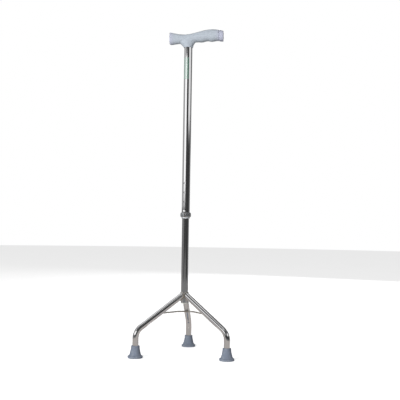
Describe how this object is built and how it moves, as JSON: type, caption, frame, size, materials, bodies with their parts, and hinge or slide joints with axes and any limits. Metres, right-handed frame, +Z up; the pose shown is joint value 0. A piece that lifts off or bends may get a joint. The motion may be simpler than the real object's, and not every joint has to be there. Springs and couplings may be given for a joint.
{
  "type": "walking cane",
  "caption": "Height-adjustable walking cane with an offset moulded grip, telescoping round shaft, snap button, lock nut and a splayed three-legged base with flared rubber tips.",
  "frame": {"origin": "on the shaft's axis, in the plane that the three tips stand on", "axes": "+Z up along the shaft; +X the way the grip points, -X its thumb wing; +Y towards the rear leg"},
  "size_m": [0.279, 0.247, 0.8803],
  "materials": {
    "grip_plastic": "satin moulded plastic",
    "nylon": "natural",
    "screw_steel": "zinc plated",
    "chrome_steel": "bright chrome",
    "clear_film": "clear, faint green",
    "collet_plastic": "satin",
    "nut_zinc": "satin grey, lightly worn",
    "button_steel": "polished",
    "spring_steel": "tempered strip",
    "plug_rubber": "matt grey-green",
    "weld_steel": "chromed over the weld",
    "tip_rubber": "matt blue-grey",
    "washer_steel": "zinc plated"
  },
  "bodies": {
    "base": {"lower_tube": "chrome_steel", "guide_bush": "nylon", "stem_plug": "plug_rubber", "snap_spring": "spring_steel", "leg_brace": "chrome_steel", "brace_welds": "weld_steel", "leg_left": "chrome_steel", "leg_weld_left": "weld_steel", "tip_left": "tip_rubber", "tip_washer_left": "washer_steel", "leg_right": "chrome_steel", "leg_weld_right": "weld_steel", "tip_right": "tip_rubber", "tip_washer_right": "washer_steel", "leg_rear": "chrome_steel", "leg_weld_rear": "weld_steel", "tip_rear": "tip_rubber", "tip_washer_rear": "washer_steel"},
    "upper": {"upper_tube": "chrome_steel", "handle_grip": "grip_plastic", "grip_end_cap": "grip_plastic", "handle_insert": "nylon", "handle_screw": "screw_steel", "label_film": "clear_film", "collet": "collet_plastic"},
    "button": {"snap_button": "button_steel"},
    "nut": {"lock_nut": "nut_zinc"}
  },
  "joints": [
    {"name": "height_slide", "type": "slide", "parent": "base", "child": "upper", "axis": [0, 0, 1], "range_m": [-0.075, 0], "deforming": ["snap_button", "snap_spring"]},
    {"name": "button_press", "type": "slide", "parent": "base", "child": "button", "axis": [0.2588, 0.9659, 0], "range_m": [0, 0.0045], "stiffness_N_per_m": 900, "deforming": ["snap_spring"]},
    {"name": "nut_turn", "type": "hinge", "parent": "upper", "child": "nut", "pos_m": [0, 0, 0.376], "axis": [0, 0, 1], "range_deg": [0, 180]}
  ]
}
